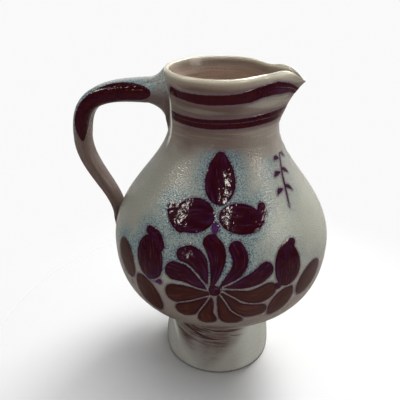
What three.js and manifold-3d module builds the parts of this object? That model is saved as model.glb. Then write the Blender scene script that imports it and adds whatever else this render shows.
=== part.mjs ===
// A thrown stoneware pitcher: round belly on a hollow foot, short neck, pinched spout and a pulled strap handle.
// Millimetres, Z up. The vessel turns about the Z axis and stands on Z = 0. The spout points along +X.
import * as THREE from "three";
import { mergeVertices } from "three/addons/utils/BufferGeometryUtils.js";
import Module from "manifold-3d";

// Heights of the thrown sections, stacked from the standing face
const footSectionHeight = 43.5;
const bellySectionHeight = 111.5;
const neckSectionHeight = 14;
const rimSectionHeight = 31;

// Outside radii
const footRadius = 37;
const waistRadius = 34.2;
const bellyRadius = 69.5;
const neckRadius = 33.1;
const rimRadius = 36;

// Walls
const floorThickness = 7;
const footWall = 6;
const bellyWall = 5;
const neckWall = 4.5;
const lipThickness = 3.4;

// Luted laps between the sections: a tongue on the upper piece sits in a rebate of the lower one
const lapDepth = 2.6;
const lapClearance = 0.3;
const floorSeat = 4;

// Shape of the outside line: where the belly is widest, and how long each curve keeps its first and last direction
const bellyWidestRise = 49.6;
const footEdgeRound = 0.8;
const footSwell = 1.2;
const footPull = 15;
const waistPull = 10;
const waistLean = 2.6;
const undersideSlope = 0.34;
const undersidePull = 33;
const bellyPullDown = 19;
const bellyPullUp = 31.5;
const neckPull = 25.5;
const rimPull = 14;
const rimFlare = 1.6;
const rimFlarePull = 9;

// Spout: reach and fall of the beak, depth of the two finger pinches beside it, all measured at the lip
const spoutReach = 10.8;
const spoutFall = 5.2;
const spoutHalfAngle = 0.16;
const spoutTipRound = 0.026;
const spoutFallAngle = 0.096;
const throatWidening = 1.6;
const throatPower = 1.15;
const risePower = 3;
const pinchDepth = 6.6;
const pinchAngle = 0.663;
const pinchSpreadFront = 0.419;
const pinchSpreadBack = 0.559;
const shoulderRise = 1.2;
const shoulderRiseAngle = 0.279;
const shoulderRiseSpread = 0.157;

// Handle: a strap that leaves the neck level, turns down at the elbow and is pressed on the belly
const handleTopDrop = 15.9;
const handleReach = 92.3;
const handleElbowDrop = 34.4;
const handleTopPull = 49;
const handleElbowPullUp = 30;
const handleElbowPullDown = 20;
const handleTailPull = 16;
const tailTopRise = 5.5;
const tailLength = 22;
const tailStandOff = 1.4;
const strapThickness = 15;
const strapThicknessLow = 7.4;
const strapWidth = 20;
const strapWidthLow = 15;
const strapSquareness = 2.5;
const strapTaper = 0.9;
const rootHeight = 27.5;
const rootDrop = 0;
const rootPull = 2.2;
const rootWidth = 26;
const rootLength = 12;
const tailEndThickness = 3;
const tailEndWidth = 19;
const luteClearance = 0.3;

// Fineness of the faceted solids, and how close two points are taken as one
const turnSteps = 60;
const footSteps = 5;
const undersideSteps = 7;
const shoulderSteps = 10;
const rimSteps = 6;
const lipSteps = 4;
const spoutCrowding = 0.55;
const strapSides = 18;
const rootSteps = 8;
const strapSteps = 26;
const tailSteps = 12;
const leastRise = 0.05;
const mergeDistance = 1e-4;

// Heights that follow from the stack
const waistHeight = footSectionHeight;
const bellyWidestHeight = waistHeight + bellyWidestRise;
const shoulderHeight = waistHeight + bellySectionHeight;
const neckTopHeight = shoulderHeight + neckSectionHeight;
const rimHeight = neckTopHeight + rimSectionHeight;

const wasm = await Module();
wasm.setup();

// Outside line of the thrown form, as curves of (radius, height) from the standing face to the lip
const footCurve = new THREE.CubicBezierCurve(
  new THREE.Vector2(footRadius, footEdgeRound),
  new THREE.Vector2(footRadius + footSwell, footPull),
  new THREE.Vector2(waistRadius - waistLean, waistHeight - waistPull),
  new THREE.Vector2(waistRadius, waistHeight),
);
const undersideCurve = new THREE.CubicBezierCurve(
  new THREE.Vector2(waistRadius, waistHeight),
  new THREE.Vector2(
    waistRadius + undersidePull * Math.cos(undersideSlope),
    waistHeight + undersidePull * Math.sin(undersideSlope),
  ),
  new THREE.Vector2(bellyRadius, bellyWidestHeight - bellyPullDown),
  new THREE.Vector2(bellyRadius, bellyWidestHeight),
);
const shoulderCurve = new THREE.CubicBezierCurve(
  new THREE.Vector2(bellyRadius, bellyWidestHeight),
  new THREE.Vector2(bellyRadius, bellyWidestHeight + bellyPullUp),
  new THREE.Vector2(neckRadius, neckTopHeight - neckPull),
  new THREE.Vector2(neckRadius, neckTopHeight),
);
const rimCurve = new THREE.CubicBezierCurve(
  new THREE.Vector2(neckRadius, neckTopHeight),
  new THREE.Vector2(neckRadius, neckTopHeight + rimPull),
  new THREE.Vector2(rimRadius - rimFlare, rimHeight - lipThickness / 2 - rimFlarePull),
  new THREE.Vector2(rimRadius, rimHeight - lipThickness / 2),
);

// Wall thickness between two ends of a curve changes evenly along it.
function sideLines(curve, steps, wallAtStart, wallAtEnd) {
  const outside = [];
  const inside = [];
  for (let i = 0; i <= steps; i += 1) {
    const t = i / steps;
    const p = curve.getPoint(t);
    const along = curve.getTangent(t);
    const wall = THREE.MathUtils.lerp(wallAtStart, wallAtEnd, t);
    outside.push(p);
    inside.push(new THREE.Vector2(p.x - wall * along.y, p.y + wall * along.x));
  }
  return { outside, inside };
}

const foot = sideLines(footCurve, footSteps, footWall, footWall);
const underside = sideLines(undersideCurve, undersideSteps, footWall, bellyWall);
const shoulder = sideLines(shoulderCurve, shoulderSteps, bellyWall, neckWall);
const rim = sideLines(rimCurve, rimSteps, neckWall, lipThickness);

// One line from the foot to the lip, kept rising so that a height has one radius.
function joinRising(lines) {
  const joined = [];
  for (const line of lines) {
    for (const p of line) {
      const last = joined[joined.length - 1];
      if (!last || p.y > last.y + leastRise) joined.push(p);
    }
  }
  return joined;
}
const outsideLine = joinRising([foot.outside, underside.outside, shoulder.outside, rim.outside]);
const insideLine = joinRising([foot.inside, underside.inside, shoulder.inside, rim.inside]);

// Radius of a rising line at a height.
function radiusAt(line, height) {
  if (height <= line[0].y) return line[0].x;
  for (let i = 1; i < line.length; i += 1) {
    if (height <= line[i].y) {
      const part = (height - line[i - 1].y) / (line[i].y - line[i - 1].y);
      return THREE.MathUtils.lerp(line[i - 1].x, line[i].x, part);
    }
  }
  return line[line.length - 1].x;
}

// Points of a rising line between two heights, with its own ends at exactly those heights.
function stretch(line, low, high) {
  const between = line.filter((p) => p.y > low + leastRise && p.y < high - leastRise);
  const first = new THREE.Vector2(radiusAt(line, low), low);
  const last = new THREE.Vector2(radiusAt(line, high), high);
  return [first, ...between, last];
}

// Radius of the step in the lap at a joint: the middle of the wall there.
function lapRadius(height) {
  return (radiusAt(outsideLine, height) + radiusAt(insideLine, height)) / 2;
}

// Top end of a section: the outer half of the wall is the ledge, the inner half is the rebate.
function rebateTop(height) {
  const step = lapRadius(height);
  return [new THREE.Vector2(step, height), new THREE.Vector2(step, height - lapDepth)];
}

// Bottom end of the section above: its tongue hangs in the rebate, clear of it by the lap's clearance.
function tongueBottom(height) {
  const step = lapRadius(height) - lapClearance;
  return [new THREE.Vector2(step, height - lapDepth + lapClearance), new THREE.Vector2(step, height)];
}

// A ring of wall between two joints, turned about the axis.
function wallSection(low, high, bottomEnd, insideLow) {
  const outside = stretch(outsideLine, low, high);
  const inside = stretch(insideLine, insideLow, high - lapDepth).reverse();
  const profile = [...outside, ...rebateTop(high), ...inside, ...bottomEnd, outside[0]];
  return new THREE.LatheGeometry(profile, turnSteps);
}

// The floor: a disc with a round lower edge and a spigot that the foot's wall stands around.
function floorGeometry() {
  const spigotRadius = radiusAt(insideLine, floorSeat) - lapClearance;
  const profile = [
    new THREE.Vector2(0, 0),
    new THREE.Vector2(footRadius - footEdgeRound, 0),
    new THREE.Vector2(footRadius, footEdgeRound),
    new THREE.Vector2(radiusAt(outsideLine, floorSeat), floorSeat),
    new THREE.Vector2(spigotRadius, floorSeat),
    new THREE.Vector2(spigotRadius, floorThickness),
    new THREE.Vector2(0, floorThickness),
  ];
  return new THREE.LatheGeometry(profile, turnSteps);
}

// The foot's wall stands on the floor's ledge, so its bottom end is plain.
function footGeometry() {
  return wallSection(floorSeat, waistHeight, [], floorSeat);
}

// Belly and neck are the same kind of ring, each with a tongue below and a rebate above.
function tonguedSection(low, high) {
  return wallSection(low, high, tongueBottom(low), low - lapDepth + lapClearance);
}

// How much of the lip's shaping reaches a height: nothing at the neck, all of it at the rim.
function shapingAt(height) {
  return THREE.MathUtils.clamp((height - neckTopHeight) / rimSectionHeight, 0, 1);
}

// How far the two finger pinches push the lip in at an angle from the spout.
function pinchAt(angle) {
  const spread = angle < pinchAngle ? pinchSpreadFront : pinchSpreadBack;
  return pinchDepth * Math.exp(-(((angle - pinchAngle) / spread) ** 2));
}

// How far the beak is pulled out at an angle from the spout; lower down it is wider.
function beakAt(angle, widening) {
  const rounded = Math.hypot(angle, spoutTipRound) - spoutTipRound;
  return spoutReach * Math.exp(-rounded / (spoutHalfAngle * widening));
}

// The lip rises a little beside the beak and falls at its tip.
function riseAt(angle) {
  const rise = shoulderRise * Math.exp(-(((angle - shoulderRiseAngle) / shoulderRiseSpread) ** 2));
  const fall = spoutFall * Math.exp(-((angle / spoutFallAngle) ** 2));
  return rise - fall;
}

// Rim with its spout: a turned ring whose columns crowd towards the spout, pinched at both sides and pulled out.
function rimGeometry() {
  const low = neckTopHeight;
  const lipCentre = new THREE.Vector2(rimRadius - lipThickness / 2, rimHeight - lipThickness / 2);
  const lip = [];
  for (let i = 1; i < lipSteps; i += 1) {
    const turn = (Math.PI * i) / lipSteps;
    const x = lipCentre.x + (lipThickness / 2) * Math.cos(turn);
    lip.push(new THREE.Vector2(x, lipCentre.y + (lipThickness / 2) * Math.sin(turn)));
  }
  const inside = stretch(insideLine, low - lapDepth + lapClearance, lipCentre.y).reverse();
  const outside = stretch(outsideLine, low, lipCentre.y);
  const profile = [...outside, ...lip, ...inside, ...tongueBottom(low), outside[0]];
  const geometry = new THREE.LatheGeometry(profile, turnSteps);
  const position = geometry.attributes.position;
  for (let i = 0; i < position.count; i += 1) {
    // The form is turned about Y, and the spout is pulled towards +Z.
    const radius = Math.hypot(position.getX(i), position.getZ(i));
    const height = position.getY(i);
    const even = Math.atan2(position.getX(i), position.getZ(i));
    const angle = even - spoutCrowding * Math.sin(even);
    const away = Math.abs(angle);
    const share = shapingAt(height);
    const widening = 1 + throatWidening * (1 - share);
    const out = share ** throatPower * (beakAt(away, widening) - pinchAt(away));
    position.setX(i, (radius + out) * Math.sin(angle));
    position.setZ(i, (radius + out) * Math.cos(angle));
    position.setY(i, height + share ** risePower * riseAt(away));
  }
  return geometry;
}

// A closed geometry as a solid that can be cut, and back again.
function solidOf(geometry) {
  const plain = geometry.clone();
  plain.deleteAttribute("normal");
  plain.deleteAttribute("uv");
  const merged = mergeVertices(plain, mergeDistance);
  const mesh = new wasm.Mesh({
    numProp: 3,
    vertProperties: merged.attributes.position.array,
    triVerts: new Uint32Array(merged.index.array),
  });
  return new wasm.Manifold(mesh);
}

function geometryOf(solid) {
  const mesh = solid.getMesh();
  const geometry = new THREE.BufferGeometry();
  geometry.setAttribute("position", new THREE.BufferAttribute(mesh.vertProperties, 3));
  geometry.setIndex(new THREE.BufferAttribute(mesh.triVerts, 1));
  return geometry;
}

// A turned form is made about Y with its seam at +Z; the vessel's axis is Z, and that seam becomes +X.
function stand(geometry) {
  return geometry.rotateY(Math.PI / 2).rotateX(Math.PI / 2);
}

// The thrown form filled solid and grown by the luting clearance: what the handle's clay is shaped against.
function bodyEnvelope() {
  const grown = outsideLine.map((p) => new THREE.Vector2(p.x + luteClearance, p.y));
  const top = grown[grown.length - 1];
  const bottom = grown[0];
  const profile = [new THREE.Vector2(0, bottom.y), ...grown, new THREE.Vector2(0, top.y)];
  return solidOf(stand(new THREE.LatheGeometry(profile, turnSteps)));
}

// Centre line of the handle, in the plane of the spout. It starts inside the neck's wall.
const handleTop = rimHeight - handleTopDrop;
const elbowHeight = handleTop - handleElbowDrop;
const tailTop = bellyWidestHeight + tailTopRise;
const tailEnd = tailTop - tailLength;
const rootStartX = -(radiusAt(outsideLine, handleTop) - neckWall);
const tailTopX = -(radiusAt(outsideLine, tailTop) + tailStandOff);
const tailEndX = -radiusAt(outsideLine, tailEnd);
const handleLine = new THREE.CurvePath();
handleLine.add(
  new THREE.CubicBezierCurve3(
    new THREE.Vector3(rootStartX, 0, handleTop),
    new THREE.Vector3(rootStartX - handleTopPull, 0, handleTop),
    new THREE.Vector3(-handleReach, 0, elbowHeight + handleElbowPullUp),
    new THREE.Vector3(-handleReach, 0, elbowHeight),
  ),
);
handleLine.add(
  new THREE.CubicBezierCurve3(
    new THREE.Vector3(-handleReach, 0, elbowHeight),
    new THREE.Vector3(-handleReach, 0, elbowHeight - handleElbowPullDown),
    new THREE.Vector3(tailTopX, 0, tailTop + handleTailPull),
    new THREE.Vector3(tailTopX, 0, tailTop),
  ),
);
handleLine.add(
  new THREE.LineCurve3(
    new THREE.Vector3(tailTopX, 0, tailTop),
    new THREE.Vector3(tailEndX, 0, tailEnd),
  ),
);
const handleLength = handleLine.getLength();

// Lengths along it: where it leaves the rim, where the flared root ends and where the pressed tail begins
const rootSeat = rimRadius + rootStartX;
const strapStart = (rootSeat + rootLength) / handleLength;
const strapEnd = 1 - (tailLength + handleTailPull) / handleLength;

// Thickness and width of the handle at a share of its length, and how far its centre drops in the root
function sectionAt(share) {
  const along = THREE.MathUtils.clamp((share - strapStart) / (strapEnd - strapStart), 0, 1);
  let thickness = THREE.MathUtils.lerp(strapThickness, strapThicknessLow, along ** strapTaper);
  let width = THREE.MathUtils.lerp(strapWidth, strapWidthLow, along);
  let drop = 0;
  if (share < strapStart) {
    const offRim = Math.max(share * handleLength - rootSeat, 0);
    const flare = (1 - offRim / rootLength) ** rootPull;
    thickness = THREE.MathUtils.lerp(thickness, rootHeight, flare);
    width = THREE.MathUtils.lerp(width, rootWidth, flare);
    drop = rootDrop * flare;
  }
  if (share > strapEnd) {
    const press = (share - strapEnd) / (1 - strapEnd);
    thickness = THREE.MathUtils.lerp(thickness, tailEndThickness, press);
    width = THREE.MathUtils.lerp(width, tailEndWidth, press);
  }
  return { thickness, width, drop };
}

// Rounded-square section of the strap, square to the centre line
function ringAt(share) {
  const along = handleLine.getTangentAt(share);
  const outwards = new THREE.Vector3(along.z, 0, -along.x);
  const { thickness, width, drop } = sectionAt(share);
  const centre = handleLine.getPointAt(share).addScaledVector(outwards, -drop);
  const ring = [];
  for (let i = 0; i < strapSides; i += 1) {
    const turn = (2 * Math.PI * i) / strapSides;
    const power = 2 / strapSquareness;
    const u = Math.sign(Math.cos(turn)) * Math.abs(Math.cos(turn)) ** power;
    const v = Math.sign(Math.sin(turn)) * Math.abs(Math.sin(turn)) ** power;
    const p = centre.clone().addScaledVector(outwards, (u * thickness) / 2);
    p.y += (v * width) / 2;
    ring.push(p);
  }
  return ring;
}

// Closed length of the handle between two shares of its centre line
function handleGeometry(from, to, steps) {
  const vertices = [];
  const faces = [];
  for (let s = 0; s <= steps; s += 1) {
    for (const p of ringAt(THREE.MathUtils.lerp(from, to, s / steps))) vertices.push(p.x, p.y, p.z);
  }
  for (let s = 0; s < steps; s += 1) {
    for (let i = 0; i < strapSides; i += 1) {
      const a = s * strapSides + i;
      const b = s * strapSides + ((i + 1) % strapSides);
      faces.push(a, b, a + strapSides, b, b + strapSides, a + strapSides);
    }
  }
  const end = steps * strapSides;
  for (let i = 1; i < strapSides - 1; i += 1) {
    faces.push(0, i + 1, i, end, end + i, end + i + 1);
  }
  const geometry = new THREE.BufferGeometry();
  geometry.setAttribute("position", new THREE.Float32BufferAttribute(vertices, 3));
  geometry.setIndex(faces);
  return geometry;
}

const saltGlaze = { roughness: 0.3, metalness: 0 };
const pitcher = new THREE.Group();

function addPiece(name, geometry, colour) {
  const material = new THREE.MeshStandardMaterial({ ...saltGlaze, color: colour });
  const mesh = new THREE.Mesh(geometry, material);
  mesh.name = name;
  pitcher.add(mesh);
}

addPiece("base_floor", stand(floorGeometry()), 0x9a9184);
addPiece("foot_wall", stand(footGeometry()), 0x9f978a);
addPiece("belly_wall", stand(tonguedSection(waistHeight, shoulderHeight)), 0x98a09a);
addPiece("neck_collar", stand(tonguedSection(shoulderHeight, neckTopHeight)), 0x948f88);
addPiece("rim_and_spout", stand(rimGeometry()), 0xb9b09a);

const envelope = bodyEnvelope();
const handlePieces = [
  ["handle_root", 0, strapStart, rootSteps, 0x8f8d86],
  ["handle_strap", strapStart, strapEnd, strapSteps, 0x6b5c52],
  ["handle_tail", strapEnd, 1, tailSteps, 0x75665b],
];
for (const [name, from, to, steps, colour] of handlePieces) {
  const clay = solidOf(handleGeometry(from, to, steps));
  addPiece(name, geometryOf(clay.subtract(envelope)), colour);
}

export default pitcher;
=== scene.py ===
# Looks for the salt-glazed pitcher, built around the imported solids.
# Shapes are worked out in millimetres and written to the meshes in metres.
import math

import bmesh
import bpy
import numpy as np
from mathutils import Matrix, Vector


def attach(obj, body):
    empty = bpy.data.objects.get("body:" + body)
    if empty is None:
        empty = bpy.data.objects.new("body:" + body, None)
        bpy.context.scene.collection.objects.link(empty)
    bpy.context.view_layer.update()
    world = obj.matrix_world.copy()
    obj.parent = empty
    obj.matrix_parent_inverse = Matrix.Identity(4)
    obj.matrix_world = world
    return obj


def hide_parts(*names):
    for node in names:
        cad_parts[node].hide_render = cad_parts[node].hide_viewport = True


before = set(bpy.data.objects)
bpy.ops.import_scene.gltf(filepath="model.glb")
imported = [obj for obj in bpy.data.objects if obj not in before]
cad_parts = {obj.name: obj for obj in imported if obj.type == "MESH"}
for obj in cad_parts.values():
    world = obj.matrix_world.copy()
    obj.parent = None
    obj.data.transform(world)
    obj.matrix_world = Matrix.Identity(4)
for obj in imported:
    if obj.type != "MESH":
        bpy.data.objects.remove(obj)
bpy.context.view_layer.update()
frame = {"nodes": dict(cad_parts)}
print("frame:", ", ".join(frame["nodes"]))

mm = 0.001

# camera at the photograph's angle
view = {
    "place": (0.044899, -0.283481, 0.257745),
    "right": (0.97776131, 0.20943779, 0.01089193),
    "up": (-0.10322734, 0.43540901, 0.89429476),
    "forward": (-0.18255667, 0.87553116, -0.44734579),
    "lens": 44.352,
    "sensor": 36.0,
}
cameraData = bpy.data.cameras.new("camera")
cameraData.sensor_width = view["sensor"]
cameraData.lens = view["lens"]
cameraData.clip_start = 0.01
cameraData.clip_end = 20
camera = bpy.data.objects.new("camera", cameraData)
bpy.context.scene.collection.objects.link(camera)
axes = Matrix((view["right"], view["up"], [-v for v in view["forward"]])).transposed()
camera.matrix_world = Matrix.Translation(view["place"]) @ axes.to_4x4()
bpy.context.scene.camera = camera
print("camera placed")

# outside line of the thrown form, as (radius, height) curves from foot to lip
form = {
    "footCurve": ((37, 0.8), (38.2, 15), (31.6, 33.5), (34.2, 43.5)),
    "undersideCurve": ((34.2, 43.5), (65.31, 54.505), (69.5, 74.1), (69.5, 93.1)),
    "shoulderCurve": ((69.5, 93.1), (69.5, 124.6), (33.1, 143.5), (33.1, 169)),
    "rimCurve": ((33.1, 169), (33.1, 183), (34.4, 189.3), (36, 198.3)),
    "walls": ((6, 6), (6, 5), (5, 4.5), (4.5, 3.4)),  # at the two ends of each curve
    "neckTop": 169.0,
    "lipLevel": 198.3,  # where the roll of the lip begins
    "lipRadius": 1.7,
    "lapDepth": 2.6,
    "lapClearance": 0.3,
    "relief": 0.16,  # how far the slip stands over the bare glaze
    "wobble": 0.1,  # unevenness left by the hands
    "ringHeight": 0.05,  # throwing rings outside
    "innerRings": 0.32,  # and inside, where nobody smoothed them
    "leastStep": 0.02,  # nearest that two points of a line come in height
}


def bezier(ends, count=400):
    p0, p1, p2, p3 = (np.array(p, float) for p in ends)
    t = np.linspace(0, 1, count)[:, None]
    return (
        (1 - t) ** 3 * p0
        + 3 * (1 - t) ** 2 * t * p1
        + 3 * (1 - t) * t * t * p2
        + t**3 * p3
    )


def rising(line):
    kept = [line[0]]
    for point in line[1:]:
        if point[1] > kept[-1][1] + form["leastStep"]:
            kept.append(point)
    return np.array(kept)


def sideLines():
    outside, inside = [], []
    names = ("footCurve", "undersideCurve", "shoulderCurve", "rimCurve")
    for name, (wallLow, wallHigh) in zip(names, form["walls"]):
        curve = bezier(form[name])
        tangent = np.gradient(curve, axis=0)
        tangent /= np.linalg.norm(tangent, axis=1)[:, None]
        wall = np.linspace(wallLow, wallHigh, len(curve))[:, None]
        outside.append(curve)
        inside.append(curve + wall * np.stack([-tangent[:, 1], tangent[:, 0]], 1))
    return rising(np.concatenate(outside)), rising(np.concatenate(inside))


outsideLine, insideLine = sideLines()


def radiusAt(line, height):
    return np.interp(height, line[:, 1], line[:, 0])


def runAlong(path):
    return np.concatenate([[0], np.cumsum(np.linalg.norm(np.diff(path, axis=0), axis=1))])


# points between two heights of a line, evenly spaced along it
def along(line, low, high, spacing):
    least = form["leastStep"]
    inner = line[(line[:, 1] > low + least) & (line[:, 1] < high - least)]
    ends = [(radiusAt(line, h), h) for h in (low, high)]
    path = np.vstack([ends[0], inner, ends[1]])
    run = runAlong(path)
    even = np.linspace(0, run[-1], max(2, round(run[-1] / spacing) + 1))
    return np.stack([np.interp(even, run, path[:, i]) for i in (0, 1)], 1)


def smooth(low, high, value):
    t = np.clip((value - low) / (high - low), 0, 1)
    return t * t * (3 - 2 * t)


# pieces: helpers that turn, loft and finish a mesh
def turnProfile(profile, columns, closed=True):
    shape = bmesh.new()
    ring = [shape.verts.new((r * mm, 0, z * mm)) for r, z in profile]
    last = len(ring) if closed else len(ring) - 1
    edges = [shape.edges.new((ring[i], ring[(i + 1) % len(ring)])) for i in range(last)]
    bmesh.ops.spin(
        shape,
        geom=ring + edges,
        axis=(0, 0, 1),
        cent=(0, 0, 0),
        dvec=(0, 0, 0),
        angle=2 * math.pi,
        steps=columns,
        use_merge=True,
        use_duplicate=False,
    )
    bmesh.ops.remove_doubles(shape, verts=shape.verts, dist=1e-6)
    bmesh.ops.recalc_face_normals(shape, faces=shape.faces)
    return shape


def meshFrom(shape, name):
    mesh = bpy.data.meshes.new(name)
    shape.to_mesh(mesh)
    shape.free()
    return mesh


def readPoints(mesh):
    flat = np.empty(len(mesh.vertices) * 3, np.float32)
    mesh.vertices.foreach_get("co", flat)
    return flat.reshape(-1, 3).astype(float) / mm


def writePoints(mesh, points):
    mesh.vertices.foreach_set("co", (points * mm).astype(np.float32).ravel())
    mesh.update()


# radius, turn and height of points
def polar(points):
    x, y, height = points.T
    return np.hypot(x, y), np.arctan2(y, x), height


# the far side is painted as the near side's mirror image
def nearSide(points):
    x, y, height = points.T
    return np.stack([x, -np.abs(y), height], 1)


def writeField(mesh, name, values):
    kind = "FLOAT" if values.ndim == 1 else "FLOAT_VECTOR"
    field = mesh.attributes.new(name, kind, "POINT")
    key = "value" if values.ndim == 1 else "vector"
    field.data.foreach_set(key, values.astype(np.float32).ravel())


def finishPiece(mesh, name, node, materials):
    mesh.shade_smooth()
    mesh.set_sharp_from_angle(angle=math.radians(40))
    for material in materials:
        mesh.materials.append(material)
    piece = bpy.data.objects.new(name, mesh)
    bpy.context.scene.collection.objects.link(piece)
    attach(piece, "root")
    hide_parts(node)
    print("piece:", name, len(mesh.vertices), "points")


# painting with slip: every brush mark is a chain of circles laid on the surface
slipReach = 14.0  # how far around a mark its nearness is kept, in mm


# rounded path through (a, b, half width) points; slip spreads round strokes, not hairlines
def brushPath(points, spread=0.0, samples=7):
    p = np.array(points, float)
    if len(p) == 1:
        return np.vstack([p, p + (0.01, 0, 0)])
    p = np.vstack([2 * p[0] - p[1], p, 2 * p[-1] - p[-2]])
    path = []
    for i in range(1, len(p) - 2):
        for t in np.linspace(0, 1, samples, endpoint=False):
            path.append(
                0.5
                * (
                    2 * p[i]
                    + (p[i + 1] - p[i - 1]) * t
                    + (2 * p[i - 1] - 5 * p[i] + 4 * p[i + 1] - p[i + 2]) * t * t
                    + (3 * p[i] - p[i - 1] - 3 * p[i + 1] + p[i + 2]) * t**3
                )
            )
    path.append(p[-2])
    path = np.array(path)
    path[:, 2] = np.maximum(path[:, 2], 0.15)
    narrow = smooth(0.5, 1.2, path[:, 2]) * smooth(4.0, 1.6, path[:, 2])
    path[:, 2] += spread * (smooth(0.8, 2.0, path[:, 2]) + narrow)
    return path


# a brushed mark: its middle line in mm, half widths and the way its surface faces
def brushMark(path, width, facing, matt, violet, side=0, joins=False):
    mark = {"path": path, "width": width, "facing": facing, "matt": matt, "violet": violet}
    return {**mark, "side": side, "joins": joins}


# Neighbouring marks lie on two sides, 0 and 1, so that the bare seam between them can be
# drawn sharper than the mesh. For each point: distance to the nearest edge on each side, share
# of the seam, place across and along the nearest mark, its number, mattness and violetness.
def paint(points, marks):
    count = len(points)
    edges = np.full((2, count), slipReach)
    nearest = np.full(count, slipReach)
    seam = np.ones(count)
    across, run, number, matt, violet = (np.zeros(count) for _ in range(5))
    for index, mark in enumerate(marks):
        path, width, facing = mark["path"], mark["width"], mark["facing"]
        margin = width.max() + slipReach
        near = np.all((points > path.min(0) - margin) & (points < path.max(0) + margin), axis=1)
        near = np.where(near)[0]
        if not len(near):
            continue
        p = points[near]
        own = np.full(len(near), slipReach)
        best = nearest[near]
        steps = len(path) - 1
        for i in range(steps):
            span = path[i + 1] - path[i]
            t = np.clip(((p - path[i]) @ span) / max(span @ span, 1e-9), 0, 1)
            off = p - path[i] - t[:, None] * span
            half = width[i] + t * (width[i + 1] - width[i])
            away = np.linalg.norm(off, axis=1) - half
            own = np.minimum(own, away)
            side = np.cross(span, facing[i])
            side /= max(np.linalg.norm(side), 1e-9)
            hit = away < best
            rows = near[hit]
            best[hit] = away[hit]
            across[rows] = np.clip((off[hit] @ side) / half[hit], -1.5, 1.5)
            run[rows] = (i + t[hit]) / steps
            number[rows] = index
            matt[rows] = mark["matt"]
            violet[rows] = mark["violet"]
        nearest[near] = best
        edges[mark["side"], near] = np.minimum(edges[mark["side"], near], own)
        if mark["joins"]:
            seam[near] = np.minimum(seam[near], smooth(0.2, 1.4, own))
    return edges, seam, across, run, number, matt, violet


def writeSlip(mesh, painted, rows, total):
    edges, seam, across, run, number, matt, violet = painted
    near = np.zeros((total, 3))
    near[rows, :2] = np.clip(0.5 - edges.T / (2 * slipReach), 0, 1)
    near[rows, 2] = seam
    path = np.zeros((total, 3))
    path[rows] = np.stack([across, run, number], 1)
    tones = np.zeros((total, 3))
    tones[rows] = np.stack([matt, violet, 0 * matt], 1)
    writeField(mesh, "slipNear", near)
    writeField(mesh, "slipPath", path)
    writeField(mesh, "slipTone", tones)


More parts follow.
